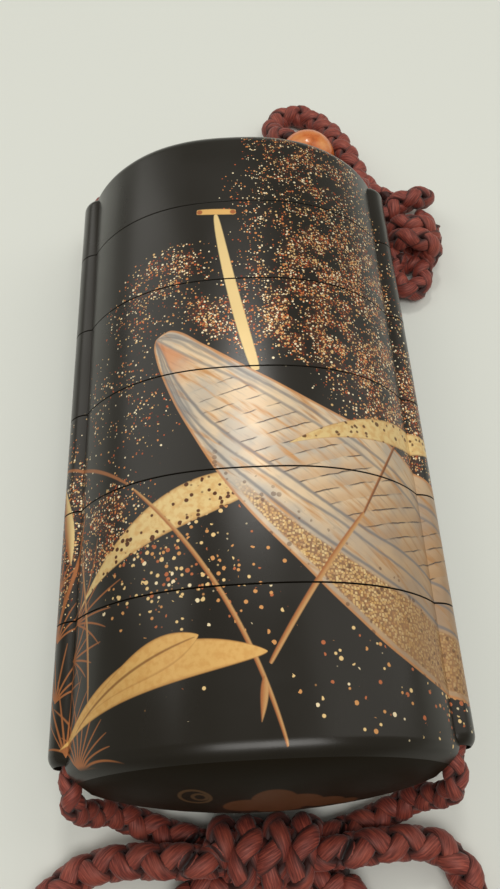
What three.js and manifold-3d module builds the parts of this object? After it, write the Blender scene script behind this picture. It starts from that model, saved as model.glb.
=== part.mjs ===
// An inro: a flat stacked case of lacquered wood in six tiers, worn on a silk cord.
// Lengths are millimetres. The case is drawn standing, with +Z up and its pictured front towards -Y, and is
// then laid on its back, so that the finished part has +Z up, its lid towards +Y and its picture on top.
import * as THREE from "three";
import { mergeVertices } from "three/addons/utils/BufferGeometryUtils.js";
import Module from "manifold-3d";

const wasm = await Module();
wasm.setup();

// Driving dimensions of the case
const WIDTH = 48; // across the two cord runners
const BODY_HALF_WIDTH = 22.38;
const BODY_HALF_DEPTH = 12.55;
const BACK_FLAT_DEPTH = 0.2; // taken off the back's crown, so that the case doesn't roll
const WALL_HALF_HEIGHT = 42.65; // to where the ends start to dome
const DOME_RISE = 5.4;
const SEAM_TOP = 30.5; // the seam under the lid
const TIER_PITCH = 14.3;
const TIERS_BELOW_LID = 5;
const SEAM_GAP = 0.15;

// The plan is a superellipse: x = a |sin|^(2/p), y = b |cos|^(2/q)
const OUTER_POWERS = [2.48, 1.42];
const INNER_POWERS = [2.9, 1.9];
const OUTER_SIDES = 40;
const INNER_SIDES = 24;

// Inside
const RECESS_HALF = [17.9, 10.6]; // the hollow under a tier, which takes the rim below
const RIM_CLEARANCE = 0.2;
const RIM_WALL = 1.0;
const RIM_HEIGHT = 5.2;
const RIM_HEADROOM = 0.3;
const FLOOR = 1.5;
const LID_HOLLOW_TOP = 43.4;
const BOTTOM_HOLLOW_LOW = -42.6;

// Cord runners, one down each side
const RUNNER_RADIUS = 2.8;
const RUNNER_X = WIDTH / 2 - RUNNER_RADIUS;
const RUNNER_HALF_HEIGHT = 43.05;
const RUNNER_ROUND = 1.7;
const RUNNER_SIDES = 16;
const CHANNEL_RADIUS = 2.15;
const CHANNEL_SIDES = 12;

// Cord and what is on it
const CORD_DIAMETER = 3.6; // as the runners hold it; the slack loops swell a little wider
const CORD_SIDES = 8;
const CORD_STEP = 3.2;
const JOINT_GAP = 0.3;
const BEAD_RADIUS = 5;
const BEAD_HOLE_RADIUS = 2.1;

const MID = BODY_HALF_DEPTH - BACK_FLAT_DEPTH; // height of the case's middle plane once it lies down
const LYING = CORD_DIAMETER / 2 + 0.05; // height of a cord's centre on the table
const SLACK = LYING + 0.25; // the same for the slack, wider loops

// Materials
function finish(color, roughness, metalness = 0) {
  return new THREE.MeshStandardMaterial({ color, roughness, metalness });
}
const LACQUER = finish(0x1b1512, 0.18);
const SILK = finish(0x7c352c, 0.85);
const AMBER = finish(0xc45a1c, 0.3);

// Solids: a closed three.js geometry as a manifold, and back
function solid(geometry) {
  const bare = geometry.clone();
  bare.deleteAttribute("normal");
  bare.deleteAttribute("uv");
  const merged = mergeVertices(bare, 1e-4);
  return new wasm.Manifold(
    new wasm.Mesh({
      numProp: 3,
      vertProperties: merged.attributes.position.array,
      triVerts: new Uint32Array(merged.index.array),
    }),
  );
}

function geometryOf(manifold) {
  const mesh = manifold.getMesh();
  const geometry = new THREE.BufferGeometry();
  geometry.setAttribute("position", new THREE.BufferAttribute(mesh.vertProperties, 3));
  geometry.setIndex(new THREE.BufferAttribute(mesh.triVerts, 1));
  geometry.computeVertexNormals();
  return geometry;
}

function named(name, geometry, material) {
  const mesh = new THREE.Mesh(geometry, material);
  mesh.name = name;
  return mesh;
}

// One point of the plan, at an angle from the front's middle, on a superellipse with half sizes a and b
function planPoint(angle, [a, b], [p, q], backLimit = Infinity) {
  const s = Math.sin(angle);
  const c = Math.cos(angle);
  const x = a * Math.sign(s) * Math.abs(s) ** (2 / p);
  const y = -b * Math.sign(c) * Math.abs(c) ** (2 / q);
  return new THREE.Vector2(x, Math.min(y, backLimit));
}

// A profile of [radius 0..1, height] turned about the upright axis, its round plan made the superellipse
function turned(profile, sides, half, powers, backLimit) {
  const points = profile.map(([r, z]) => new THREE.Vector2(r, z));
  const geometry = new THREE.LatheGeometry(points, sides);
  const place = geometry.attributes.position;
  for (let i = 0; i < place.count; i++) {
    const r = Math.hypot(place.getX(i), place.getZ(i));
    const angle = Math.atan2(place.getX(i), place.getZ(i));
    const plan = planPoint(angle, half, powers, backLimit);
    place.setXYZ(i, r * plan.x, r * plan.y, place.getY(i));
  }
  return solid(geometry);
}

const DOME_ANGLES = [12, 28, 45, 62, 78].map((degrees) => (degrees * Math.PI) / 180);

// The tier's outer block, flat at a seam and domed at an end of the case
function bodyBlock(low, high) {
  const domedLow = low <= -WALL_HALF_HEIGHT;
  const domedHigh = high >= WALL_HALF_HEIGHT;
  const rising = DOME_ANGLES.map((t) => [Math.cos(t), WALL_HALF_HEIGHT + DOME_RISE * Math.sin(t)]);
  const falling = rising.map(([r, z]) => [r, -z]).reverse();
  const apex = WALL_HALF_HEIGHT + DOME_RISE;
  const profile = [
    ...(domedLow ? [[0, -apex], ...falling] : [[0, low]]),
    [1, low],
    [1, high],
    ...(domedHigh ? [...rising, [0, apex]] : [[0, high]]),
  ];
  const half = [BODY_HALF_WIDTH, BODY_HALF_DEPTH];
  return turned(profile, OUTER_SIDES, half, OUTER_POWERS, BODY_HALF_DEPTH - BACK_FLAT_DEPTH);
}

// A hollow or a rim: the inner plan, drawn straight up
function innerBlock(low, high, half) {
  const profile = [[0, low], [1, low], [1, high], [0, high]];
  return turned(profile, INNER_SIDES, half, INNER_POWERS);
}

// A cord runner's lobe between two heights, rounded where it ends with the case
function runner(side, low, high) {
  const arc = [0, 30, 60, 90].map((degrees) => (degrees * Math.PI) / 180);
  const rounded = arc.map((t) => [
    RUNNER_RADIUS - RUNNER_ROUND * (1 - Math.cos(t)),
    RUNNER_HALF_HEIGHT - RUNNER_ROUND * (1 - Math.sin(t)),
  ]);
  const endsLow = low <= -WALL_HALF_HEIGHT;
  const endsHigh = high >= WALL_HALF_HEIGHT;
  const lowEnd = endsLow ? rounded.map(([r, z]) => [r, -z]).reverse() : [[RUNNER_RADIUS, low]];
  const highEnd = endsHigh ? rounded : [[RUNNER_RADIUS, high]];
  const profile = [[0, lowEnd[0][1]], ...lowEnd, ...highEnd, [0, highEnd.at(-1)[1]]];
  const geometry = new THREE.LatheGeometry(
    profile.map(([r, z]) => new THREE.Vector2(r, z)),
    RUNNER_SIDES,
  );
  return solid(geometry.rotateX(Math.PI / 2).translate(side * RUNNER_X, 0, 0));
}

function channel(side) {
  const length = 2 * (WALL_HALF_HEIGHT + DOME_RISE);
  const geometry = new THREE.CylinderGeometry(CHANNEL_RADIUS, CHANNEL_RADIUS, length, CHANNEL_SIDES);
  return solid(geometry.rotateX(Math.PI / 2).translate(side * RUNNER_X, 0, 0));
}

// The outside of a tier: body and both runners, with the channels through
function shell(low, high) {
  let block = bodyBlock(low, high);
  for (const side of [-1, 1]) block = block.add(runner(side, low, high));
  for (const side of [-1, 1]) block = block.subtract(channel(side));
  return block;
}

function inset(half, by) {
  return half.map((size) => size - by);
}

const RIM_HALF = inset(RECESS_HALF, RIM_CLEARANCE);
const HOLLOW_HALF = inset(RIM_HALF, RIM_WALL);

// The rim stands on the tier and reaches down to its floor, and the hollow is cut through it
function withRim(block, floorTop, high) {
  const rim = innerBlock(high - FLOOR, high + RIM_HEIGHT, RIM_HALF);
  return block.add(rim).subtract(innerBlock(floorTop, high + RIM_HEIGHT + 1, HOLLOW_HALF));
}

function lid() {
  const low = SEAM_TOP + SEAM_GAP / 2;
  const hollow = innerBlock(low - 1, LID_HOLLOW_TOP, RECESS_HALF);
  return shell(low, WALL_HALF_HEIGHT).subtract(hollow);
}

function middleTier(high) {
  const low = high - TIER_PITCH + SEAM_GAP;
  const recessTop = low + RIM_HEIGHT + RIM_HEADROOM;
  const recess = innerBlock(low - 1, recessTop, RECESS_HALF);
  return withRim(shell(low, high).subtract(recess), recessTop + FLOOR, high);
}

function bottomTier(high) {
  return withRim(shell(-WALL_HALF_HEIGHT, high), BOTTOM_HOLLOW_LOW, high);
}

// The case, tipped onto its back
const stack = new THREE.Group();
stack.rotation.x = -Math.PI / 2;
stack.position.z = MID;
stack.add(named("lid", geometryOf(lid()), LACQUER));
for (let tier = 1; tier <= TIERS_BELOW_LID; tier++) {
  const high = SEAM_TOP - SEAM_GAP / 2 - (tier - 1) * TIER_PITCH;
  const block = tier < TIERS_BELOW_LID ? middleTier(high) : bottomTier(high);
  stack.add(named(`case_${tier}`, geometryOf(block), LACQUER));
}

// Cord routes, in the finished part's own frame. Each is one smooth curve through its points.
const BEAD = [13.7, 60.7, BEAD_RADIUS];
const BEAD_AXIS = new THREE.Vector3(-0.5, 0.866, 0).normalize();
const BOW_HALF = [8.2, 3.9, 3.6];
const BOW = [0, -52.3, BOW_HALF[2]];
const END_HALF = [5.0, 12.0, 4.4];
const END = [30.2, 40.0, END_HALF[2]];

const LEFT_ROUTE = [
  [-8.7, -49.9, 2.3], [-11.8, -49.0, 1.9], [-14.4, -47.9, 2.1], [-16.4, -47.2, 3.0],
  [-17.9, -46.6, 4.4], [-19.4, -46.8, 6.5], [-20.6, -46.9, 9.0], [-21.2, -46.4, 11.1],
  [-21.3, -44.7, 12.25], [-21.2, -42.6, MID], [-21.2, -40, MID], [-21.2, -20, MID],
  [-21.2, 0, MID], [-21.2, 20, MID], [-21.2, 40, MID], [-21.2, 42.6, MID],
  [-21.3, 44.7, 12.25], [-21.3, 46.4, 11.1], [-20.8, 47.1, 8.7], [-19.8, 47.5, 6.0],
  [-17.8, 48.4, 3.7], [-14.6, 50.3, 2.2], [-9, 52.2, LYING], [-1, 52.8, LYING],
  [7, 52.0, LYING], [14, 50.0, LYING], [19.5, 47.4, 1.95], [24.2, 44.4, 2.6],
];
const RIGHT_ROUTE = [
  [8.7, -49.9, 2.3], [11.8, -49.1, 1.9], [14.4, -48.0, 2.1], [16.4, -47.3, 3.0],
  [17.9, -46.7, 4.4], [19.4, -46.8, 6.5], [20.6, -46.9, 9.0], [21.2, -46.4, 11.1],
  [21.3, -44.7, 12.25], [21.2, -42.6, MID], [21.2, -40, MID], [21.2, -20, MID],
  [21.2, 0, MID], [21.2, 20, MID], [21.2, 40, MID], [21.2, 42.6, MID],
  [21.3, 44.7, 12.25], [21.3, 46.8, 11.2], [20.9, 48.8, 9.1], [20.1, 50.9, 7.1],
  [18.5, 53.4, 5.6], [16.35, 56.1, BEAD_RADIUS],
];
const ARCH_ROUTE = [
  [11.05, 65.3, BEAD_RADIUS], [9.2, 67.7, 4.1], [8.3, 69.9, 3.0], [8.2, 72.2, 2.3],
  [9.5, 74.6, SLACK], [12.5, 75.9, SLACK], [15.6, 74.5, SLACK], [17.9, 71.2, 2.6],
  [19.5, 67.2, 3.6], [20.7, 62.9, 4.4], [21.8, 58.4, 4.7], [23.1, 53.6, 4.8],
  [26.2, 49.2, 5.0],
];
const BOW_LEFT_ROUTE = [
  [-8.9, -52.2, 5.6], [-12.6, -52.0, 4.7], [-17.0, -51.8, 3.2], [-21.6, -52.7, SLACK],
  [-25.4, -55.4, SLACK], [-27.2, -60.0, SLACK], [-25.4, -64.6, SLACK], [-20.6, -66.2, SLACK],
  [-15.4, -64.2, SLACK], [-11.4, -60.2, SLACK], [-8.9, -55.2, SLACK],
];
const BOW_RIGHT_ROUTE = [
  [8.9, -52.0, 5.6], [12.4, -51.6, 4.9], [16.4, -51.4, 3.8], [20.0, -52.0, 2.6],
  [22.6, -54.6, SLACK], [23.2, -58.4, SLACK], [21.4, -62.0, SLACK], [17.6, -63.2, SLACK],
  [13.4, -61.6, SLACK], [10.6, -58.6, SLACK], [8.9, -55.2, SLACK],
];
const TAIL_LEFT_ROUTE = [
  [-3.4, -56.6, SLACK], [-4.0, -60.6, SLACK], [-6.0, -65.6, SLACK], [-10.4, -69.6, SLACK],
  [-16.0, -71.6, SLACK], [-21.6, -71.8, SLACK], [-25.8, -70.8, SLACK],
];
const TAIL_RIGHT_ROUTE = [
  [3.4, -56.6, SLACK], [4.2, -61.2, SLACK], [7.2, -65.8, SLACK], [12.4, -68.6, SLACK],
  [18.6, -68.8, SLACK], [24.4, -66.4, SLACK], [28.6, -62.2, SLACK],
];
const TAIL_KNOT_RADIUS = 2.9;

function tube(points) {
  const path = new THREE.CatmullRomCurve3(points.map((p) => new THREE.Vector3(...p)));
  const section = new THREE.Shape();
  for (let k = 0; k < CORD_SIDES; k++) {
    const turn = (2 * Math.PI * k) / CORD_SIDES;
    const corner = [(CORD_DIAMETER / 2) * Math.cos(turn), (CORD_DIAMETER / 2) * Math.sin(turn)];
    if (k === 0) section.moveTo(...corner);
    else section.lineTo(...corner);
  }
  section.closePath();
  const steps = Math.round(path.getLength() / CORD_STEP);
  return new THREE.ExtrudeGeometry(section, { steps, extrudePath: path, bevelEnabled: false });
}

// A knot's rounded lump. It is drawn a little taller than its place, and the table cuts its underside flat.
const LUMP_OVERHEIGHT = 1.06;

function lump([x, y, z], [rx, ry, rz]) {
  const ball = new THREE.SphereGeometry(1, 14, 8).scale(rx, ry, rz * LUMP_OVERHEIGHT).translate(x, y, z);
  const under = new THREE.BoxGeometry(3 * rx, 3 * ry, 2 * rz).translate(x, y, -rz);
  return solid(ball).subtract(solid(under));
}

// The bow's wrapped middle: two bands side by side, each a share of its width
const BAND_SHARE = 0.58;

function bowKnot() {
  const [x, y, z] = BOW;
  const [rx, ry, rz] = BOW_HALF;
  const bandHalf = [rx * BAND_SHARE, ry, rz];
  const offset = rx - bandHalf[0];
  return lump([x - offset, y, z], bandHalf).add(lump([x + offset, y, z], bandHalf));
}

// The bundle beside the lid: a head, a middle and a folded foot, as shares of the whole bundle's half size
const BUNDLE = [
  { shift: [0.2, 0.62], share: [0.82, 0.38, 1] },
  { shift: [0.02, 0.05], share: [0.98, 0.5, 1] },
  { shift: [-0.28, -0.56], share: [0.72, 0.44, 0.9] },
];

function endKnot() {
  const [rx, ry, rz] = END_HALF;
  const lumps = BUNDLE.map(({ shift, share }) => {
    const centre = [END[0] + rx * shift[0], END[1] + ry * shift[1], rz * share[2]];
    return lump(centre, [rx * share[0], ry * share[1], rz * share[2]]);
  });
  return lumps.reduce((whole, part) => whole.add(part));
}

// The bead: a ball with a straight hole along its own axis
function bead() {
  const ball = new THREE.SphereGeometry(BEAD_RADIUS, 20, 12);
  const hole = new THREE.CylinderGeometry(BEAD_HOLE_RADIUS, BEAD_HOLE_RADIUS, 3 * BEAD_RADIUS, 12);
  const drilled = geometryOf(solid(ball).subtract(solid(hole)));
  const turn = new THREE.Quaternion().setFromUnitVectors(new THREE.Vector3(0, 1, 0), BEAD_AXIS);
  return drilled.applyQuaternion(turn).translate(...BEAD);
}

const cords = new THREE.Group();
for (const [name, route] of [
  ["cord_left", LEFT_ROUTE],
  ["cord_right", RIGHT_ROUTE],
  ["cord_arch", ARCH_ROUTE],
  ["bow_loop_left", BOW_LEFT_ROUTE],
  ["bow_loop_right", BOW_RIGHT_ROUTE],
  ["bow_tail_left", TAIL_LEFT_ROUTE],
  ["bow_tail_right", TAIL_RIGHT_ROUTE],
]) {
  cords.add(named(name, tube(route), SILK));
}

function tailKnot(route) {
  const [x, y] = route.at(-1);
  const [px, py] = route.at(-2);
  const run = Math.hypot(x - px, y - py);
  const reach = (TAIL_KNOT_RADIUS + JOINT_GAP) / run;
  const centre = [x + (x - px) * reach, y + (y - py) * reach, TAIL_KNOT_RADIUS];
  return lump(centre, [TAIL_KNOT_RADIUS, TAIL_KNOT_RADIUS, TAIL_KNOT_RADIUS]);
}

cords.add(named("ojime_bead", bead(), AMBER));
cords.add(named("bow_knot", geometryOf(bowKnot()), SILK));
cords.add(named("end_knot", geometryOf(endKnot()), SILK));
cords.add(named("tail_knot_left", geometryOf(tailKnot(TAIL_LEFT_ROUTE)), SILK));
cords.add(named("tail_knot_right", geometryOf(tailKnot(TAIL_RIGHT_ROUTE)), SILK));

const inro = new THREE.Group();
inro.add(stack, cords);

export default inro;
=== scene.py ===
# %% [markdown]
# # An inro case, finished
#
# An inro is a small stacked case of lacquered wood. It hangs from a belt on one silk cord, which runs up
# through a channel in each side, slides through a bead and ends in a knot. Here it lies on its back on a
# table. The frame holds the case's real sizes, so everything below is made where the frame says.

import math

import bmesh
import bpy
import numpy as np
from mathutils import Matrix, Vector


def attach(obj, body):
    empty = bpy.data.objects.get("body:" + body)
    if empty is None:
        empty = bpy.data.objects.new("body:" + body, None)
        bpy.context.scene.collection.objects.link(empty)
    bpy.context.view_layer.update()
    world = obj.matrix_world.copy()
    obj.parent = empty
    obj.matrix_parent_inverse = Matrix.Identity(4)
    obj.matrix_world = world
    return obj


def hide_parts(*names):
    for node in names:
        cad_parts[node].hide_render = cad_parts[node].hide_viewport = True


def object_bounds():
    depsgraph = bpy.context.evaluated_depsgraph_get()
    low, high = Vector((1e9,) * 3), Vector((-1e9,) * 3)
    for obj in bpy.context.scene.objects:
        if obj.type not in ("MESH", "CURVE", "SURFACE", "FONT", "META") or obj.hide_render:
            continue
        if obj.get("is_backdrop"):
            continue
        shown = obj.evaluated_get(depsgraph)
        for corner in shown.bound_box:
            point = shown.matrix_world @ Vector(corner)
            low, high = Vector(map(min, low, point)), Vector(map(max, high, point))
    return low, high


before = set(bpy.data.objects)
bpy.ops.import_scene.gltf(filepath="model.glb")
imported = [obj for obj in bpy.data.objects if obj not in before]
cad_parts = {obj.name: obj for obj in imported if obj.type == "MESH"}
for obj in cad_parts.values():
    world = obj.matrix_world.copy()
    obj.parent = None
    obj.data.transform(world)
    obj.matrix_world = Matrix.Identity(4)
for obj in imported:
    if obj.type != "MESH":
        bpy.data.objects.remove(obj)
cad_low, cad_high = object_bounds()
MM = 0.001
cad_size = [round((high - low) / MM, 1) for low, high in zip(cad_low, cad_high)]
print("frame:", len(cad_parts), "pieces,", cad_size, "mm")

# %% [markdown]
# ## The camera
#
# The camera looks down at the case from beyond its bottom end, quite near, so the bottom looks much larger
# than the lid. A camera is easiest to read as a place, a point that it looks at and a small roll.

# %% Camera
CAMERA_PLACE = Vector((-0.8, -57.8, 110.3)) * MM
CAMERA_AIM = Vector((0.66, 4.69, 0.0)) * MM
CAMERA_ROLL = math.radians(-1.593)
CAMERA_LENS = 33.58
CAMERA_NEAREST = 5 * MM


def add_camera():
    camera = bpy.data.objects.new("camera", bpy.data.cameras.new("camera"))
    bpy.context.scene.collection.objects.link(camera)
    camera.data.lens = CAMERA_LENS
    camera.data.clip_start = CAMERA_NEAREST
    turn = (CAMERA_AIM - CAMERA_PLACE).to_track_quat("-Z", "Y").to_matrix()
    roll = Matrix.Rotation(CAMERA_ROLL, 3, "Z")
    camera.matrix_world = Matrix.Translation(CAMERA_PLACE) @ (turn @ roll).to_4x4()
    bpy.context.scene.camera = camera
    return camera


camera = add_camera()
for axis, column in zip("xyz", camera.matrix_world.to_3x3().transposed()):
    print("camera", axis, [round(part, 3) for part in column])

# %% [markdown]
# ## Cord routes
#
# The silk is one long cord in life. Each stretch between knots is a smooth curve through a few points,
# nearly the same points that the frame's plain tubes follow: only where the left cord leaves its runner
# beside the lid does it turn down a little sooner. Heights are those of the cord's middle.

# %% Routes
MID = 12.35  # height of the case's middle plane
SLACK = 2.1  # height of a slack cord's middle on the table
LYING = 1.85  # the same for the two cords that the case's runners hold

ROUTES = {
    "cord_left": [
        (-8.7, -49.9, 2.3), (-11.8, -49.0, 1.9), (-14.4, -47.9, 2.1), (-16.4, -47.2, 3.0),
        (-17.9, -46.6, 4.4), (-19.4, -46.8, 6.5), (-20.6, -46.9, 9.0), (-21.2, -46.4, 11.1),
        (-21.3, -44.7, 12.25), (-21.2, -42.6, MID), (-21.2, -40, MID), (-21.2, -20, MID),
        (-21.2, 0, MID), (-21.2, 20, MID), (-21.2, 40, MID), (-21.2, 42.6, MID),
        (-21.35, 44.4, 11.8), (-21.4, 45.8, 10.3), (-20.9, 46.8, 8.3), (-19.8, 47.4, 5.9),
        (-17.8, 48.4, 3.7), (-14.6, 50.3, 2.2), (-9, 52.2, LYING), (-1, 52.8, LYING),
        (7, 52.0, LYING), (14, 50.0, LYING), (19.5, 47.4, 1.95), (24.2, 44.4, 2.6),
    ],
    "cord_right": [
        (8.7, -49.9, 2.3), (11.8, -49.1, 1.9), (14.4, -48.0, 2.1), (16.4, -47.3, 3.0),
        (17.9, -46.7, 4.4), (19.4, -46.8, 6.5), (20.6, -46.9, 9.0), (21.2, -46.4, 11.1),
        (21.3, -44.7, 12.25), (21.2, -42.6, MID), (21.2, -40, MID), (21.2, -20, MID),
        (21.2, 0, MID), (21.2, 20, MID), (21.2, 40, MID), (21.2, 42.6, MID),
        (21.3, 44.7, 12.25), (21.3, 46.8, 11.2), (20.9, 48.8, 9.1), (20.1, 50.9, 7.1),
        (18.5, 53.4, 5.6), (16.35, 56.1, 5.0),
    ],
    "cord_arch": [
        (11.05, 65.3, 5.0), (9.2, 67.7, 4.1), (8.3, 69.9, 3.0), (8.2, 72.2, 2.3),
        (9.5, 74.6, SLACK), (12.5, 75.9, SLACK), (15.6, 74.5, SLACK), (17.9, 71.2, 2.6),
        (19.5, 67.2, 3.6), (20.7, 62.9, 4.4), (21.8, 58.4, 4.7), (23.1, 53.6, 4.8),
        (26.2, 49.2, 5.0),
    ],
    "bow_loop_left": [
        (-8.9, -52.2, 5.6), (-12.6, -52.0, 4.7), (-17.0, -51.8, 3.2), (-21.6, -52.7, SLACK),
        (-25.4, -55.4, SLACK), (-27.2, -60.0, SLACK), (-25.4, -64.6, SLACK), (-20.6, -66.2, SLACK),
        (-15.4, -64.2, SLACK), (-11.4, -60.2, SLACK), (-8.9, -55.2, SLACK),
    ],
    "bow_loop_right": [
        (8.9, -52.0, 5.6), (12.4, -51.6, 4.9), (16.4, -51.4, 3.8), (20.0, -52.0, 2.6),
        (22.6, -54.6, SLACK), (23.2, -58.4, SLACK), (21.4, -62.0, SLACK), (17.6, -63.2, SLACK),
        (13.4, -61.6, SLACK), (10.6, -58.6, SLACK), (8.9, -55.2, SLACK),
    ],
    "bow_tail_left": [
        (-3.4, -56.6, SLACK), (-4.0, -60.6, SLACK), (-6.0, -65.6, SLACK), (-10.4, -69.6, SLACK),
        (-16.0, -71.6, SLACK), (-21.6, -71.8, SLACK), (-25.8, -70.8, SLACK),
    ],
    "bow_tail_right": [
        (3.4, -56.6, SLACK), (4.2, -61.2, SLACK), (7.2, -65.8, SLACK), (12.4, -68.6, SLACK),
        (18.6, -68.8, SLACK), (24.4, -66.4, SLACK), (28.6, -62.2, SLACK),
    ],
}
print("routes:", {name: len(points) for name, points in ROUTES.items()})

# %% [markdown]
# A smooth curve through given points is a Catmull-Rom spline. The centripetal kind never loops between
# two close points. It is then read off at even steps, because a braid's twist has to be even along the
# cord.

# %% A smooth line through points
SPLINE_STEPS = 24  # between two of the given points


def smooth_line(points, step):
    """Points at even steps, in metres, along a curve through points in millimetres."""
    knots = [Vector(p) * MM for p in points]
    knots = [2 * knots[0] - knots[1], *knots, 2 * knots[-1] - knots[-2]]
    fine = []
    for p0, p1, p2, p3 in zip(knots, knots[1:], knots[2:], knots[3:]):
        t1 = (p1 - p0).length ** 0.5
        t2 = t1 + (p2 - p1).length ** 0.5
        t3 = t2 + (p3 - p2).length ** 0.5
        for k in range(SPLINE_STEPS):
            t = t1 + (t2 - t1) * k / SPLINE_STEPS
            a1 = p0.lerp(p1, t / t1)
            a2 = p1.lerp(p2, (t - t1) / (t2 - t1))
            a3 = p2.lerp(p3, (t - t2) / (t3 - t2))
            b1 = a1.lerp(a2, t / t2)
            b2 = a2.lerp(a3, (t - t1) / (t3 - t1))
            fine.append(b1.lerp(b2, (t - t1) / (t2 - t1)))
    fine = np.array([*fine, knots[-2]])
    runs = np.concatenate([[0], np.cumsum(np.linalg.norm(np.diff(fine, axis=0), axis=1))])
    count = max(2, round(runs[-1] / step))
    stations = np.linspace(0, runs[-1], count + 1)
    return np.stack([np.interp(stations, runs, fine[:, axis]) for axis in range(3)], axis=1)


def length_of(line):
    return float(np.linalg.norm(np.diff(line, axis=0), axis=1).sum())


print("left cord:", round(length_of(smooth_line(ROUTES["cord_left"], 0.5 * MM)) / MM, 1), "mm")

# %% [markdown]
# ## The braid
#
# The cord is a round braid of four silk strands. Two wind to the right and two to the left, and each goes
# over one and under the next. Seen from any side that makes two rows of plump beads. Each strand is swept
# as its own oval tube, so the dark gaps between the beads are real. A thinner cord has a shorter braid.

# %% Braid sizes
SLACK_RADIUS = 2.15 * MM
HELD_RADIUS = 1.7 * MM  # pulled tight through the runners
PITCH_PER_RADIUS = 3.9  # one strand's full turn round the cord, over the cord's radius
STRAND_SIDES = 10
BRAID_STEP = 0.42 * MM
STRAND_WAVE = 0.13  # how far a strand rises over the next, as a share of the cord's radius
STRAND_THICK = 0.38  # a strand's half thickness, as a share of the cord's radius
STRAND_WIDE = 0.56  # its half width, in the same way
STRAND_PLUMP = 0.12  # how much wider a strand is where it lies on top


def carried_frames(line):
    """Tangent, side and up vectors along a line, turned as little as possible from one point to the next."""
    tangents = np.gradient(line, axis=0)
    tangents /= np.linalg.norm(tangents, axis=1)[:, None]
    side = np.cross(tangents[0], (0, 0, 1))
    if np.linalg.norm(side) < 0.1:
        side = np.cross(tangents[0], (0, 1, 0))
    sides = []
    for tangent in tangents:
        side = side - tangent * np.dot(side, tangent)
        side = side / np.linalg.norm(side)
        sides.append(side)
    sides = np.array(sides)
    return tangents, sides, np.cross(sides, tangents)


def strand(line, radii, number):
    """Rings of one strand of the braid, its number from 0 to 3: an array of rings, sides and xyz."""
    tangents, sides, ups = carried_frames(line)
    steps = np.linalg.norm(np.diff(line, axis=0), axis=1)
    way = 1 if number % 2 == 0 else -1
    turn = 2 * math.pi * np.concatenate([[0], np.cumsum(steps / radii[1:])]) / PITCH_PER_RADIUS
    angle = way * turn + (number // 2) * math.pi + (number % 2) * math.pi / 2
    over = way * np.sin(2 * turn)
    out = np.cos(angle)[:, None] * sides + np.sin(angle)[:, None] * ups
    middle_radius = radii * (1 - STRAND_THICK - STRAND_WAVE + STRAND_WAVE * over)
    middle = line + middle_radius[:, None] * out
    along = np.gradient(middle, axis=0)
    along /= np.linalg.norm(along, axis=1)[:, None]
    across = np.cross(along, out)
    across /= np.linalg.norm(across, axis=1)[:, None]
    rise = np.cross(across, along)
    plump = 1 + STRAND_PLUMP * over
    rings = []
    for k in range(STRAND_SIDES):
        a = 2 * math.pi * k / STRAND_SIDES
        wide = (radii * STRAND_WIDE * plump * math.cos(a))[:, None] * across
        thick = (radii * STRAND_THICK * math.sin(a))[:, None] * rise
        rings.append(middle + wide + thick)
    return np.stack(rings, axis=1)


def add_tube(mesh, rings):
    """Adds closed rings as a capped tube to a bmesh, with round and lengthwise places kept as a UV map."""
    uv = mesh.loops.layers.uv.verify()
    made = [[mesh.verts.new(p) for p in ring] for ring in rings]
    middles = rings.mean(axis=1)
    run = np.concatenate([[0], np.cumsum(np.linalg.norm(np.diff(middles, axis=0), axis=1))])
    sides = len(made[0])
    for i, (near, far) in enumerate(zip(made, made[1:])):
        for k in range(sides):
            face = mesh.faces.new((near[k], near[(k + 1) % sides], far[(k + 1) % sides], far[k]))
            corners = ((k, i), (k + 1, i), (k + 1, i + 1), (k, i + 1))
            for loop, (around, row) in zip(face.loops, corners):
                loop[uv].uv = (around / sides, run[row] / MM)
    for ring, flip in ((made[0], True), (made[-1], False)):
        mesh.faces.new(ring[::-1] if flip else ring)


def braid(name, runs):
    """One piece made of braided runs, each a line with its cord's radius, or one radius for each point."""
    mesh = bmesh.new()
    for line, radius in runs:
        radii = np.broadcast_to(radius, len(line))
        for number in range(4):
            add_tube(mesh, strand(line, radii, number))
    bmesh.ops.recalc_face_normals(mesh, faces=mesh.faces)
    data = bpy.data.meshes.new(name)
    mesh.to_mesh(data)
    mesh.free()
    data.polygons.foreach_set("use_smooth", [True] * len(data.polygons))
    piece = bpy.data.objects.new(name, data)
    bpy.context.scene.collection.objects.link(piece)
    print(name, "braided:", len(data.polygons), "faces")
    return piece


# %% [markdown]
# ## The cords
#
# Each stretch replaces its plain tube in the frame. The two that run up through the case are drawn tight
# and thin inside it and swell a little outside, and the arch, the bow's ears and its tails are slack and
# plump.

# %% Cords
SWELLING = 0.3 * MM  # more radius, once the cord is outside and down
PINCH = 0.2 * MM  # less radius, where it bends out of the runner


def held_radii(line):
    """Thin in the case, thinnest at the mouth of the runner, and swelling over the next few millimetres."""
    from_middle, height = np.abs(line[:, 1]) / MM, line[:, 2] / MM
    outside = np.clip((from_middle - 46.0) / 3.0, 0, 1)
    low = np.clip((11.0 - height) / 7.0, 0, 1)
    pinched = np.clip((from_middle - 42.0) / 2.0, 0, 1) * (1 - low)
    return HELD_RADIUS + SWELLING * outside * low - PINCH * pinched


HELD = ("cord_left", "cord_right")
cord_lines = {name: smooth_line(points, BRAID_STEP) for name, points in ROUTES.items()}
cords = {}
for name, line in cord_lines.items():
    radii = held_radii(line) if name in HELD else SLACK_RADIUS
    cords[name] = braid(name + "_braid", [(line, radii)])
    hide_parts(name)
    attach(cords[name], "root")

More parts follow.
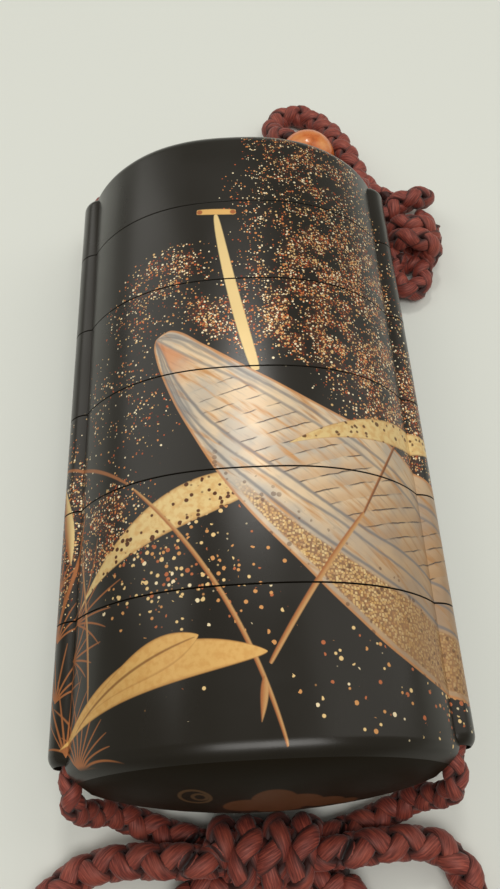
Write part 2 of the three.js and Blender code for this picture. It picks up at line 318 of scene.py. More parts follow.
# %% [markdown]
# ## The knots
#
# A knot is the same cord turned round itself, so it is drawn as a few short braided runs that cross. In the
# bow, the two cords of the case cross low down and go on into the ears, and three and a half turns are
# wound round them. The end bundle is a fold of cord with two and a half turns wound round it and a loose
# turn at its head. A tail ends in a little over two tight turns.

# %% Bow and end bundle
POINTS_PER_TURN = 12
BOW_RADIUS = 0.93 * SLACK_RADIUS
BUNDLE_RADIUS = 0.9 * SLACK_RADIUS
TAIL_KNOT_RADIUS = 1.6 * MM


def turns(centre, along, reach, half, count, start=0.0):
    """Points of a cord wound round a bundle that lies along one way. Half is its half width and height."""
    across = Vector((along[1], -along[0], 0)).normalized()
    way = Vector((along[0], along[1], 0)).normalized()
    points = []
    steps = round(POINTS_PER_TURN * count)
    for k in range(steps + 1):
        a = start + 2 * math.pi * k / POINTS_PER_TURN
        move = way * reach * (k / steps - 0.5)
        side = across * half[0] * math.cos(a)
        points.append(tuple(Vector(centre) + move + side + Vector((0, 0, half[1] * math.sin(a)))))
    return points


def knot_of(name, runs, radius):
    return braid(name, [(smooth_line(run, BRAID_STEP), radius) for run in runs])


BOW_RUNS = [
    [(-8.6, -50.1, 2.3), (-4.6, -51.2, 2.2), (0, -52.9, 2.2), (4.4, -54.4, 2.2), (8.6, -55.1, 2.2)],
    [(8.6, -50.1, 2.3), (4.6, -51.0, 2.6), (0, -52.6, 3.4), (-4.4, -54.3, 2.6), (-8.6, -55.1, 2.2)],
    [(-8.8, -52.2, 5.5), (-7.0, -52.3, 5.2), (-5.0, -52.2, 3.9)],
    [(8.8, -52.0, 5.5), (7.0, -52.1, 5.2), (5.0, -52.2, 3.9)],
    [(-3.4, -56.4, 2.2), (-2.9, -54.6, 2.9), (-1.6, -52.0, 3.2)],
    [(3.4, -56.4, 2.2), (2.9, -54.6, 2.9), (1.6, -52.0, 3.2)],
]
END_FOLD = [
    (29.4, 46.5, 3.2), (27.6, 41.5, 4.0), (26.9, 37.5, 3.0), (26.6, 34.2, 2.1), (27.8, 31.8, 2.1),
    (30.0, 31.9, 2.1), (31.2, 34.4, 2.2), (31.7, 38.0, 3.0), (32.5, 42.0, 4.0), (33.0, 46.5, 3.6),
]
END_HEAD = [
    (24.0, 44.5, 2.7), (26.0, 45.6, 4.4), (28.2, 47.6, 5.9), (30.6, 48.4, 6.4), (33.0, 49.3, 5.4),
    (33.3, 51.3, 3.2), (30.9, 51.6, 2.2), (28.6, 50.4, 3.4), (26.0, 49.4, 4.9),
]
bow_turns = turns((0, -51.7, 3.85), (1, 0), 11.4, (2.45, 1.75), 3.5, math.pi / 2)
bow = knot_of("bow_knot_braid", (*BOW_RUNS, bow_turns), BOW_RADIUS)
end_turns = turns((30.2, 40.4, 4.3), (0.12, 1), 7.6, (3.1, 2.35), 2.5, math.pi)
end_bundle = knot_of("end_knot_braid", (END_FOLD, END_HEAD, end_turns), BUNDLE_RADIUS)
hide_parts("bow_knot")
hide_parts("end_knot")

# %% Tail knots
tail_knots = {}
for side in ("left", "right"):
    points = ROUTES["bow_tail_" + side]
    end, before = Vector(points[-1]), Vector(points[-2])
    way = (end - before).normalized()
    middle = end + way * 2.9
    wound = turns((middle.x, middle.y, 2.75), way, 2.4, (1.25, 1.15), 2.25)
    tail_knots[side] = knot_of(f"tail_knot_{side}_braid", [wound], TAIL_KNOT_RADIUS)
    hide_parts("tail_knot_" + side)
for piece in (bow, end_bundle, *tail_knots.values()):
    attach(piece, "root")

# %% [markdown]


# %% [markdown]
# ## The case's blocks
#
# A tier is a prism with a rounded plan, so it is modelled as on a lathe bench turned square: a circle of
# points is added, moved onto the plan, and then extruded along the case ring by ring. A ring's size lets
# the end dome and the seams' fine bevels grow out of the same steps. The runners, the hollows and the cord
# channels are blocks of the same kind, joined or cut with a Boolean.

# %% Sizes of the case, in millimetres
BODY_HALF = (22.38, 12.55)
OUTER_POWERS = (2.48, 1.42)
INNER_POWERS = (2.9, 1.9)
ROUND = (2.0, 2.0)
WALL_END = 42.65
DOME_RISE = 5.4
SEAMS = [30.5 - 14.3 * k for k in range(5)]
HALF_SEAM = 0.05
SEAM_BEVEL = 0.06
RECESS_HALF = (17.9, 10.6)
RIM_HALF = (17.7, 10.4)
HOLLOW_HALF = (16.7, 9.4)
RIM_HEIGHT = 5.2
FLOOR = 1.5
RUNNER_X, RUNNER_RADIUS, RUNNER_END, RUNNER_ROUND = 21.2, 2.8, 43.05, 1.7
CHANNEL_RADIUS = 2.15
RECESS_SPARE = 0.3  # between a rim's top and the end of the recess that takes it
NEARLY_NONE = 0.001


def deselect_all():
    bpy.ops.object.select_all(action="DESELECT")


def select_only(piece):
    deselect_all()
    bpy.context.view_layer.objects.active = piece
    piece.select_set(True)


def smooth_by_angle(piece, degrees):
    """Smooth shading that keeps the edges sharper than an angle."""
    select_only(piece)
    bpy.ops.object.shade_smooth_by_angle(angle=math.radians(degrees))


def signed_power(value, power):
    return math.copysign(abs(value) ** power, value)


def block_along_case(name, rings, half, powers, sides, middle_x=0.0):
    """A closed block. rings is (place along the case, size) in order. A last size of 0 closes in a pole."""
    deselect_all()
    first, size = rings[0]
    bpy.ops.mesh.primitive_circle_add(
        vertices=sides, radius=1, fill_type="NGON", location=(0, 0, 0), rotation=(math.pi / 2, 0, 0)
    )
    block = bpy.context.object
    block.name = name
    bpy.ops.object.transform_apply(location=True, rotation=True, scale=True)
    for corner in block.data.vertices:
        a = math.atan2(corner.co.x, corner.co.z)
        x = half[0] * signed_power(math.sin(a), 2 / powers[0])
        z = half[1] * signed_power(math.cos(a), 2 / powers[1])
        corner.co = Vector((middle_x + size * x, first, MID + size * z)) * MM
    bpy.ops.object.mode_set(mode="EDIT")
    bpy.ops.mesh.select_all(action="SELECT")
    for place, next_size in rings[1:]:
        bpy.ops.mesh.extrude_region_move(TRANSFORM_OT_translate={"value": (0, (place - first) * MM, 0)})
        ratio = max(next_size, NEARLY_NONE) / size
        centre = Vector((middle_x, place, MID)) * MM
        bpy.ops.transform.resize(value=(ratio, 1, ratio), center_override=centre)
        first, size = place, max(next_size, NEARLY_NONE)
    if rings[-1][1] == 0:
        bpy.ops.mesh.merge(type="CENTER")
    bpy.ops.mesh.select_all(action="SELECT")
    bpy.ops.mesh.normals_make_consistent(inside=False)
    bpy.ops.object.mode_set(mode="OBJECT")
    return block


def join_or_cut(block, tool, way):
    """Joins a tool block to a block, or cuts it away, and removes the tool."""
    change = block.modifiers.new("change", "BOOLEAN")
    change.operation = way
    change.solver = "EXACT"
    change.object = tool
    select_only(block)
    bpy.ops.object.modifier_apply(modifier=change.name)
    bpy.data.objects.remove(tool)


# %% [markdown]
# The ring lists. A seam end starts a hair smaller and grows to full size, which is its bevel. The domed end
# follows a quarter of an ellipse. A runner's end is rounded by an arc.


# %% Rings of a tier
def tier_rings(low, high, radius, end):
    """Rings from one end of a tier to the other. Where low or high is None, the end's own rings follow."""
    slight = 1 - SEAM_BEVEL / radius
    if low is None:
        return [(high, slight), (high - SEAM_BEVEL, 1), *[(-place, size) for place, size in end]]
    if high is None:
        return [(low, slight), (low + SEAM_BEVEL, 1), *end]
    return [(low, slight), (low + SEAM_BEVEL, 1), (high - SEAM_BEVEL, 1), (high, slight)]


def dome_rings():
    rings = [(WALL_END, 1)]
    for degrees in (*range(3, 85, 6), 87, 90):
        a = math.radians(degrees)
        rings.append((WALL_END + DOME_RISE * math.sin(a), math.cos(a) if degrees < 90 else 0))
    return rings


def runner_end_rings():
    rings = []
    for degrees in range(0, 91, 10):
        a = math.radians(degrees)
        place = RUNNER_END - RUNNER_ROUND * (1 - math.sin(a))
        rings.append((place, 1 - RUNNER_ROUND * (1 - math.cos(a)) / RUNNER_RADIUS))
    return rings


def tier_shell(name, low, high):
    """Body and both runners in one block, with the cord channels cut through."""
    rings = tier_rings(low, high, BODY_HALF[1], dome_rings())
    block = block_along_case(name, rings, BODY_HALF, OUTER_POWERS, 240)
    for corner in block.data.vertices:
        corner.co.z = max(corner.co.z, 0.0)  # the flat on the back that it rests on
    runner = tier_rings(low, high, RUNNER_RADIUS, runner_end_rings())
    channel = [(-60, 1), (60, 1)]
    for rings, radius, sides, way in (
        (runner, RUNNER_RADIUS, 72, "UNION"), (channel, CHANNEL_RADIUS, 48, "DIFFERENCE")
    ):
        for middle_x in (-RUNNER_X, RUNNER_X):
            tool = block_along_case("tool", rings, (radius, radius), ROUND, sides, middle_x)
            join_or_cut(block, tool, way)
    return block


def hollow_out(block, low, high, half, way="DIFFERENCE"):
    tool = block_along_case("inside", [(low, 1), (high, 1)], half, INNER_POWERS, 96)
    join_or_cut(block, tool, way)


# %% [markdown]
# ## Lid and trays
#
# Each tray has a recess below that takes the rim of the next, a floor, and a rim that stands up inside the
# tray above. The four middle trays are alike, so one is modelled and copied.

# %% Lid and trays
lid = tier_shell("lacquer_lid", SEAMS[0] + HALF_SEAM, None)
hollow_out(lid, SEAMS[0] - 2, 43.4, RECESS_HALF)

middle = tier_shell("lacquer_tray_1", SEAMS[1] + HALF_SEAM, SEAMS[0] - HALF_SEAM)
recess_top = SEAMS[1] + HALF_SEAM + RIM_HEIGHT + RECESS_SPARE
hollow_out(middle, SEAMS[1] - 2, recess_top, RECESS_HALF)
hollow_out(middle, SEAMS[0] - FLOOR, SEAMS[0] + RIM_HEIGHT, RIM_HALF, "UNION")
hollow_out(middle, recess_top + FLOOR, SEAMS[0] + RIM_HEIGHT + 2, HOLLOW_HALF)

trays = [middle]
for number in (2, 3, 4):
    tray = bpy.data.objects.new(f"lacquer_tray_{number}", middle.data.copy())
    bpy.context.scene.collection.objects.link(tray)
    for corner in tray.data.vertices:
        corner.co.y += (SEAMS[number - 1] - SEAMS[0]) * MM
    trays.append(tray)

bottom = tier_shell("lacquer_tray_5", None, SEAMS[4] - HALF_SEAM)
hollow_out(bottom, SEAMS[4] - FLOOR, SEAMS[4] + RIM_HEIGHT, RIM_HALF, "UNION")
hollow_out(bottom, -42.6, SEAMS[4] + RIM_HEIGHT + 2, HOLLOW_HALF)
trays.append(bottom)

case_pieces = [lid, *trays]
for piece, node in zip(case_pieces, ["lid"] + [f"case_{k}" for k in range(1, 6)]):
    smooth_by_angle(piece, 28)
    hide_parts(node)
    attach(piece, "root")
    print(piece.name, len(piece.data.polygons), "faces")

# %% [markdown]
# ## A map wrapped round the case
#
# The picture runs from the flat front over both runners onto the back. It needs a map that doesn't stretch:
# how far a point is from the front's middle, measured along the surface, and its place along the case. Both
# are worked out for each corner and kept as an attribute that the lacquer's material reads.

# %% Wrap map
ON_THE_WALL = 1.004  # a little outside the plan's own curve: the point is on a runner
angles = np.linspace(0, math.pi / 2, 4001)
plan_x = BODY_HALF[0] * np.sin(angles) ** (2 / OUTER_POWERS[0])
plan_z = BODY_HALF[1] * np.cos(angles) ** (2 / OUTER_POWERS[1])
plan_run = np.concatenate([[0], np.cumsum(np.hypot(np.diff(plan_x), np.diff(plan_z)))])
crease = int(np.argmax((plan_x - RUNNER_X) ** 2 + plan_z**2 < RUNNER_RADIUS**2))
crease_run = plan_run[crease]
crease_turn = math.atan2(plan_z[crease], plan_x[crease] - RUNNER_X)
side_run = crease_run + crease_turn * RUNNER_RADIUS


def plan_reach(x, z):
    """1 on the body's plan, less inside it and more outside it."""
    return (abs(x) / BODY_HALF[0]) ** OUTER_POWERS[0] + (abs(z) / BODY_HALF[1]) ** OUTER_POWERS[1]


def wrap_places(points):
    """Distance round from the front's middle, without sign, and place along the case, both in millimetres."""
    x, y, z = np.abs(points[:, 0]) / MM, points[:, 1] / MM, points[:, 2] / MM - MID
    dome = np.clip((np.abs(y) - WALL_END) / DOME_RISE, 0, 0.999)
    size = np.sqrt(1 - dome**2)
    body_x = np.minimum(x / size, plan_x[-1])
    body = np.interp(body_x, plan_x, plan_run)
    outside = plan_reach(body_x, z / size)
    turn = np.arctan2(np.abs(z), x - RUNNER_X)
    lobe = crease_run + np.maximum(crease_turn - turn, 0) * RUNNER_RADIUS
    run = np.where((outside > ON_THE_WALL) & (x > plan_x[crease]), lobe, np.minimum(body, crease_run))
    return np.where(z >= 0, run, 2 * side_run - run), y


for piece in case_pieces:
    data = piece.data
    points = np.empty(3 * len(data.vertices))
    data.vertices.foreach_get("co", points)
    run, along = wrap_places(points.reshape(-1, 3))
    corners = np.empty(len(data.loops), dtype=int)
    data.loops.foreach_get("vertex_index", corners)
    sides = [np.full(face.loop_total, 1.0 if face.center.x >= 0 else -1.0) for face in data.polygons]
    wrap = data.attributes.new("wrap", "FLOAT_VECTOR", "CORNER")
    around = run[corners] * np.concatenate(sides)
    values = np.stack([around, along[corners], np.zeros(len(corners))], axis=1)
    wrap.data.foreach_set("vector", values.ravel())
print("wrap: crease at", round(crease_run, 2), "mm, runner's edge at", round(side_run, 2))

# %% [markdown]
# ## The bead
#
# The cord runs through a sliding bead. It is a ball of rings like the case's blocks, drilled along the
# cord, with the mouth of the hole flared so that the silk doesn't fray on a sharp edge. It is then turned
# to lie on the cord.

# %% Bead
BEAD = Vector((13.7, 60.7, 5.0)) * MM
BEAD_RADIUS = 5.0
BEAD_TURN = math.radians(30)
BEAD_HOLE_RADIUS = 1.95
HALF_HOLE = [(3.6, 1), (4.1, 1.06), (4.5, 1.2), (4.9, 1.45), (5.5, 1.9)]  # place from the middle, size

ball_rings = []
for degrees in (*range(-88, 89, 4), 90):
    a = math.radians(degrees)
    ball_rings.append((BEAD_RADIUS * math.sin(a), math.cos(a) if degrees < 90 else 0))
bead = block_along_case("amber_ojime", ball_rings, (BEAD_RADIUS, BEAD_RADIUS), ROUND, 72)
hole_rings = [*[(-place, size) for place, size in HALF_HOLE[::-1]], *HALF_HOLE]
hole = block_along_case("hole", hole_rings, (BEAD_HOLE_RADIUS, BEAD_HOLE_RADIUS), ROUND, 48)
join_or_cut(bead, hole, "DIFFERENCE")
bead.data.transform(Matrix.Translation((0, 0, -MID * MM)))
bead.data.transform(Matrix.Translation(BEAD) @ Matrix.Rotation(BEAD_TURN, 4, "Z"))
smooth_by_angle(bead, 30)
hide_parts("ojime_bead")
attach(bead, "root")
print("bead:", len(bead.data.polygons), "faces")

# %% [markdown]
# ## Wiring for finishes
#
# A finish is a network of shader nodes. A short helper adds a node, and joins it or sets it, so that a
# formula can be read as one. A value given as a number is set on the socket, and a value that is a socket
# is linked.

# %% Wiring helper
class Wiring:
    """Adds and joins nodes in one shader tree."""

    def __init__(self, tree):
        self.tree = tree

    def add(self, kind, **settings):
        node = self.tree.nodes.new("ShaderNode" + kind)
        for name, value in settings.items():
            setattr(node, name, value)
        return node

    def give(self, socket, value):
        if isinstance(value, bpy.types.NodeSocket):
            self.tree.links.new(value, socket)
        else:
            socket.default_value = value

    def math(self, operation, *values, clamp=False):
        node = self.add("Math", operation=operation, use_clamp=clamp)
        for socket, value in zip(node.inputs, values):
            self.give(socket, value)
        return node.outputs[0]

    def times(self, first, second):
        return self.math("MULTIPLY", first, second)

    def minus(self, first, second, clamp=False):
        return self.math("SUBTRACT", first, second, clamp=clamp)

    def share(self, part, whole):
        return self.math("DIVIDE", part, whole)

    def most(self, first, second):
        return self.math("MAXIMUM", first, second)

    def inside(self, distance, softness):
        """A mask of where a distance is above 0, with a soft edge."""
        return self.math("ADD", self.share(distance, softness), 0.5, clamp=True)

    def vector(self, operation, *values):
        node = self.add("VectorMath", operation=operation)
        for socket, value in zip(node.inputs, values):
            self.give(socket, value)
        return node.outputs["Value" if operation in ("LENGTH", "DISTANCE", "DOT_PRODUCT") else "Vector"]

    def parts(self, vector):
        """The x, y and z of a vector."""
        node = self.add("SeparateXYZ")
        self.give(node.inputs[0], vector)
        return node.outputs

    def joined(self, x, y):
        node = self.add("CombineXYZ")
        self.give(node.inputs[0], x)
        self.give(node.inputs[1], y)
        return node.outputs[0]

    def seen_from(self, place, middle, angle):
        """A place counted from a middle, on axes turned by an angle."""
        node = self.add("VectorRotate", rotation_type="Z_AXIS", invert=True)
        self.give(node.inputs["Vector"], self.vector("SUBTRACT", place, middle))
        self.give(node.inputs["Angle"], angle)
        return node.outputs[0]

    def cells(self, place, scale, **settings):
        """Voronoi cells: three random numbers for each cell, and the distance from its middle."""
        node = self.add("TexVoronoi", feature="F1", **settings)
        self.give(node.inputs["Vector"], place)
        self.give(node.inputs["Scale"], scale)
        randoms = self.add("SeparateColor")
        self.give(randoms.inputs[0], node.outputs["Color"])
        return randoms.outputs, node.outputs["Distance"]

    def relief(self, shader, height, strength, depth):
        """Fine unevenness in a shader's normals."""
        node = self.add("Bump")
        node.inputs["Strength"].default_value = strength
        node.inputs["Distance"].default_value = depth
        self.give(node.inputs["Height"], height)
        self.give(shader.inputs["Normal"], node.outputs[0])

    def step(self, value, start, end, low=0.0, high=1.0):
        """A soft step of a value, from low at start to high at end."""
        node = self.add("MapRange", interpolation_type="SMOOTHSTEP")
        for socket, number in zip(node.inputs, (value, start, end, low, high)):
            self.give(socket, number)
        return node.outputs[0]

    def mix(self, share, under, over):
        """A share of one colour over another. Each colour is a socket, or three linear numbers."""
        node = self.add("Mix", data_type="RGBA")
        for index, value in ((0, share), (6, under), (7, over)):
            self.give(node.inputs[index], (*value, 1) if isinstance(value, tuple) else value)
        return node.outputs[2]

    def noise(self, place, scale, detail):
        node = self.add("TexNoise")
        self.give(node.inputs["Vector"], place)
        node.inputs["Scale"].default_value = scale
        node.inputs["Detail"].default_value = detail
        return node.outputs[0]

    def use(self, group, **values):
        """Places a node group. Its inputs are given by name, with _ for a space."""
        node = self.add("Group", node_tree=group)
        for name, value in values.items():
            self.give(node.inputs[name.replace("_", " ")], value)
        return node.outputs

    def ramp(self, value, stops, interpolation="LINEAR"):
        node = self.add("ValToRGB")
        node.color_ramp.interpolation = interpolation
        points = node.color_ramp.elements
        while len(points) < len(stops):
            points.new(0.5)
        for point, (place, colour) in zip(points, stops):
            point.position = place
            point.color = (*colour, 1)
        self.give(node.inputs[0], value)
        return node.outputs[0]


SOCKETS = {"vector": "NodeSocketVector", "value": "NodeSocketFloat", "colour": "NodeSocketColor"}


def new_group(name, inputs, outputs):
    """A shader group with named sockets: its wiring, what it is given and what it puts out."""
    tree = bpy.data.node_groups.new(name, "ShaderNodeTree")
    for label, kind in inputs.items():
        tree.interface.new_socket(label, in_out="INPUT", socket_type=SOCKETS[kind])
    for label, kind in outputs.items():
        tree.interface.new_socket(label, in_out="OUTPUT", socket_type=SOCKETS[kind])
    wiring = Wiring(tree)
    return wiring, tree.nodes.new("NodeGroupInput").outputs, tree.nodes.new("NodeGroupOutput").inputs


def colour(red, green, blue):
    """A colour as seen on a screen, 0 to 255, turned into the linear kind that shaders use."""
    linear = []
    for part in (red, green, blue):
        c = part / 255
        linear.append(c / 12.92 if c <= 0.04045 else ((c + 0.055) / 1.055) ** 2.4)
    return tuple(linear)


# %% [markdown]
# ## A brushed stroke
#
# The lacquer picture is drawn with a brush: every stem and leaf is one stroke that swells and comes to a
# point. So one group draws any stroke. It turns the wrap map to the stroke's own line, bends that line to
# an arch, and keeps what lies within a half width that grows and shrinks along it.

# %% Stroke group
wiring, given, out = new_group(
    "brushed stroke",
    {"Place": "vector", "Start": "vector", "Angle": "value", "Length": "value", "Width": "value",
     "Bend": "value", "Swell": "value", "Taper": "value", "Softness": "value"},
    {"Mask": "value", "Across": "value"},
)
axes = wiring.parts(wiring.seen_from(given["Place"], given["Start"], given["Angle"]))
along = wiring.share(axes[0], given["Length"])
held = wiring.most(wiring.math("MINIMUM", along, 1.0), 0.0)
arch = wiring.times(wiring.times(held, wiring.minus(1.0, held)), 4.0)
off = wiring.minus(axes[1], wiring.times(arch, given["Bend"]))
swell = wiring.math("SINE", wiring.times(wiring.math("POWER", held, given["Swell"]), math.pi))
tapered = wiring.math("POWER", wiring.most(swell, 0.0), given["Taper"])
half = wiring.times(wiring.times(tapered, given["Width"]), 0.5)
inside = wiring.inside(wiring.minus(half, wiring.math("ABSOLUTE", off)), given["Softness"])
within = wiring.times(wiring.math("GREATER_THAN", along, 0.0), wiring.math("LESS_THAN", along, 1.0))
wiring.give(out["Mask"], wiring.times(inside, within))
wiring.give(out["Across"], wiring.share(off, wiring.most(half, 0.02)))
STROKE = wiring.tree
print("stroke group:", len(STROKE.nodes), "nodes")

# %% [markdown]
# ## A tuft of grass
#
# A tuft is many thin blades from one root. Seen from the root, each blade is an angle, so the group reads
# the map as angle and reach, cuts the angle into even steps, and gives each step its own random reach.

# %% Tuft group
wiring, given, out = new_group(
    "grass tuft",
    {"Place": "vector", "Root": "vector", "Angle": "value", "Spread": "value", "Blades": "value",
     "Reach": "value", "Bend": "value", "Width": "value"},
    {"Mask": "value"},
)
from_root = wiring.seen_from(given["Place"], given["Root"], given["Angle"])
axes = wiring.parts(from_root)
reach = wiring.vector("LENGTH", from_root)
share = wiring.share(reach, given["Reach"])
turn = wiring.math("ARCTAN2", axes[1], axes[0])
bent = wiring.share(turn, wiring.math("ADD", 1.0, wiring.times(share, given["Bend"])))
cell = wiring.share(given["Spread"], given["Blades"])
place = wiring.share(bent, cell)
number = wiring.math("ROUND", place)
random = wiring.add("TexWhiteNoise", noise_dimensions="1D")
wiring.give(random.inputs["W"], number)
blade_reach = wiring.math("MULTIPLY_ADD", random.outputs[0], 0.45, 0.55)
aside = wiring.times(wiring.math("ABSOLUTE", wiring.minus(place, number)), cell)
aside = wiring.times(aside, reach)
left = wiring.minus(1.0, wiring.share(share, blade_reach), clamp=True)
blade = wiring.times(wiring.math("POWER", left, 0.5), wiring.times(given["Width"], 0.5))
mask = wiring.inside(wiring.minus(blade, aside), 0.1)
fan = wiring.math("LESS_THAN", wiring.math("ABSOLUTE", bent), wiring.times(given["Spread"], 0.5))
ends = wiring.times(fan, wiring.math("GREATER_THAN", left, 0.0))
wiring.give(out["Mask"], wiring.times(mask, ends))
TUFT = wiring.tree
print("tuft group:", len(TUFT.nodes), "nodes")

# %% [markdown]
# ## Sprinkled gold
#
# Gold flakes are sprinkled on wet lacquer through a bamboo tube, thick in one place and thin in another. A
# Voronoi texture gives one cell for each flake: a random number decides if the cell holds one, so a larger
# share makes a denser cloud. Another picks its metal: pale gold, cream, orange or red-brown.

# %% Flake group
wiring, given, out = new_group(
    "sprinkled flakes",
    {"Place": "vector", "Cells": "value", "Share": "value"},
    {"Mask": "value", "Tone": "value"},
)
randoms, distance = wiring.cells(
    given["Place"], given["Cells"], voronoi_dimensions="3D", distance="EUCLIDEAN"
)
chosen = wiring.math("LESS_THAN", randoms[0], given["Share"])
radius = wiring.math("MULTIPLY_ADD", randoms[1], 0.22, 0.27)
flake = wiring.inside(wiring.minus(radius, distance), 0.12)
wiring.give(out["Mask"], wiring.times(flake, chosen))
wiring.give(out["Tone"], randoms[2])
FLAKES = wiring.tree

# %% Cloud group
wiring, given, out = new_group(
    "cloud patch",
    {"Place": "vector", "Middle": "vector", "Half": "vector", "Angle": "value"},
    {"Share": "value"},
)
from_middle = wiring.seen_from(given["Place"], given["Middle"], given["Angle"])
size = wiring.vector("LENGTH", wiring.vector("DIVIDE", from_middle, given["Half"]))
wiring.give(out["Share"], wiring.step(size, 1.15, 0.35))
CLOUD = wiring.tree
print("flakes and cloud:", len(FLAKES.nodes), len(CLOUD.nodes), "nodes")

# %% [markdown]
# ## The moored boat
#
# The hull is the picture's largest form. It is read in its own coordinates: how far along the boat, and how
# far across. Two listed curves give its edges, five more the strakes inside it, and oblique lines the
# planks of its floor. The low side carries a mosaic of cut gold.

# %% Hull lines: place along the boat, place across it, both in millimetres
BOAT_TIP = (-11.4, 7.6)
BOAT_ANGLE = math.radians(-41)
BOAT_LENGTH = 58.0
ACROSS_LOW, ACROSS_SPAN = -16.0, 33.0  # the range across the boat that its curves can reach
SOFT_EDGE = 0.12  # millimetres over which a painted edge fades
UPPER_EDGE = [
    (0, 0.3), (0.4, 1.5), (1.2, 2.4), (6.4, 2.9), (15.4, 3.8), (24.3, 5.4), (34, 9.4), (40, 11.3), (58, 16),
]
LOWER_EDGE = [
    (0, 0.1), (0.5, -0.8), (1.6, -1.8), (5.8, -4.5), (12.9, -7.9), (23.6, -11.6), (33.3, -13.2),
    (40.9, -14.0), (48.1, -13.7), (58, -10),
]
UPPER_STRAKE = [
    (0, 0.3), (2, 1.6), (4.7, 2.2), (10.5, 2.4), (16.2, 2.9), (22.1, 3.6), (26.6, 4.0), (30.9, 4.9),
    (36.3, 6.4), (58, 11),
]
FLOOR_TOP = [
    (0, 0.2), (5.2, 0.3), (10, 0.8), (14.5, 1.5), (19.1, 1.9), (23.7, 2.4), (27.4, 3.0), (32.1, 3.8),
    (37, 5.0), (58, 9),
]
FLOOR_LOW = [
    (0, 0.0), (2, -0.9), (6.4, -3.2), (10.7, -4.7), (13.8, -5.4), (22, -5.7), (27.1, -5.5), (32.6, -5.2),
    (38.3, -4.0), (41.4, -2.7), (58, 3),
]
SECOND_STRAKE = [
    (0, 0.0), (2, -1.2), (6.4, -3.8), (11, -6.0), (16.5, -7.1), (24.1, -7.0), (29.1, -6.8), (33.8, -6.1),
    (37.8, -5.7), (42.5, -4.5), (58, 1),
]
THIRD_STRAKE = [
    (0, 0.0), (2, -1.4), (6, -4.2), (13, -7.3), (20.2, -8.7), (24.5, -9.0), (28.6, -9.2), (32.8, -9.1),
    (36.7, -8.6), (40.7, -7.8), (43.9, -6.9), (58, -2),
]


def edge_curve(wiring, along, points):
    """A given line across the boat, as a curve node of the place along it."""
    node = wiring.add("FloatCurve")
    curve = node.mapping.curves[0]
    while len(curve.points) < len(points):
        curve.points.new(0.5, 0.5)
    for point, (x, y) in zip(curve.points, points):
        point.location = (x / BOAT_LENGTH, (y - ACROSS_LOW) / ACROSS_SPAN)
    node.mapping.update()
    wiring.give(node.inputs["Value"], wiring.share(along, BOAT_LENGTH))
    return wiring.math("MULTIPLY_ADD", node.outputs[0], ACROSS_SPAN, ACROSS_LOW)


def line_at(wiring, distance, at, width, soft):
    """A thin line where a distance has a given value."""
    gap = wiring.math("ABSOLUTE", wiring.minus(distance, at))
    return wiring.step(gap, width / 2 + soft, width / 2 - soft / 2)


# %% Hull group
HULL_SILVER = colour(196, 184, 168)
HULL_CREAM = colour(228, 202, 168)
HULL_ORANGE = colour(202, 152, 102)
HULL_BROWN = colour(150, 112, 74)
STRAKE_BLUE = colour(112, 112, 116)
RIM_GOLD = colour(190, 128, 74)
PLANK_BROWN = colour(84, 72, 66)
TIP_COPPER = colour(205, 128, 78)
TILE_TONES = [
    (0.0, colour(218, 176, 108)), (0.3, colour(202, 156, 90)), (0.6, colour(236, 206, 146)),
    (0.85, colour(176, 124, 72)),
]
TILE_JOINT = colour(140, 96, 56)
HULL_SPOT = colour(96, 66, 48)
PLANK_LEAN = 0.62  # how oblique the planks lie
PLANK_WIDTH = 2.12
FIRST_PLANK = 13.8
TILES_PER_MM = 2.9

wiring, given, out = new_group("boat hull", {"Place": "vector"}, {"Mask": "value", "Colour": "colour"})
from_tip = wiring.seen_from(given["Place"], (*BOAT_TIP, 0.0), BOAT_ANGLE)
along, across, _ = wiring.parts(from_tip)
under_edge = wiring.minus(edge_curve(wiring, along, UPPER_EDGE), across)
over_low = wiring.minus(across, edge_curve(wiring, along, LOWER_EDGE))
nearest = wiring.math("MINIMUM", under_edge, over_low)
mask = wiring.inside(nearest, SOFT_EDGE)
mask = wiring.times(mask, wiring.math("GREATER_THAN", along, 0.0))

wobble = wiring.noise(given["Place"], 0.55, 3.0)
wobble = wiring.times(wiring.minus(wobble, 0.5), 0.5)
grain_place = wiring.vector("MULTIPLY", from_tip, (0.22, 1.6, 1.0))
grain = wiring.noise(grain_place, 1.1, 4.0)
patches = wiring.noise(given["Place"], 0.16, 3.0)
tone = wiring.mix(wiring.step(patches, 0.38, 0.62), HULL_SILVER, HULL_CREAM)
tone = wiring.mix(wiring.step(wiring.noise(grain_place, 0.7, 3.0), 0.5, 0.72), tone, HULL_ORANGE)
tone = wiring.mix(wiring.step(grain, 0.52, 0.75, 0, 0.35), tone, STRAKE_BLUE)

floor_under = wiring.minus(edge_curve(wiring, along, FLOOR_TOP), across)
floor_over = wiring.minus(across, edge_curve(wiring, along, FLOOR_LOW))
on_floor = wiring.times(wiring.step(floor_under, -0.1, 0.3), wiring.step(floor_over, -0.1, 0.3))
plank = wiring.minus(along, wiring.times(across, PLANK_LEAN))
plank = wiring.math("ADD", plank, wobble)
plank_share = wiring.math("FRACT", wiring.share(wiring.minus(plank, FIRST_PLANK), PLANK_WIDTH))
plank_line = wiring.step(plank_share, 0.14, 0.03)
faint = wiring.step(wiring.noise(given["Place"], 0.4, 1.0), 0.36, 0.56)
plank_line = wiring.times(wiring.times(plank_line, on_floor), faint)
plank_line = wiring.times(plank_line, wiring.step(along, 9.0, 13.0))
warm = wiring.times(wiring.step(plank_share, 0.15, 0.85), on_floor)
warm = wiring.times(warm, wiring.step(along, 14.0, 30.0, 0.08, 0.4))
tone = wiring.mix(warm, tone, HULL_ORANGE)
tone = wiring.mix(wiring.step(along, 24.0, 50.0, 0.0, 0.7), tone, HULL_BROWN)
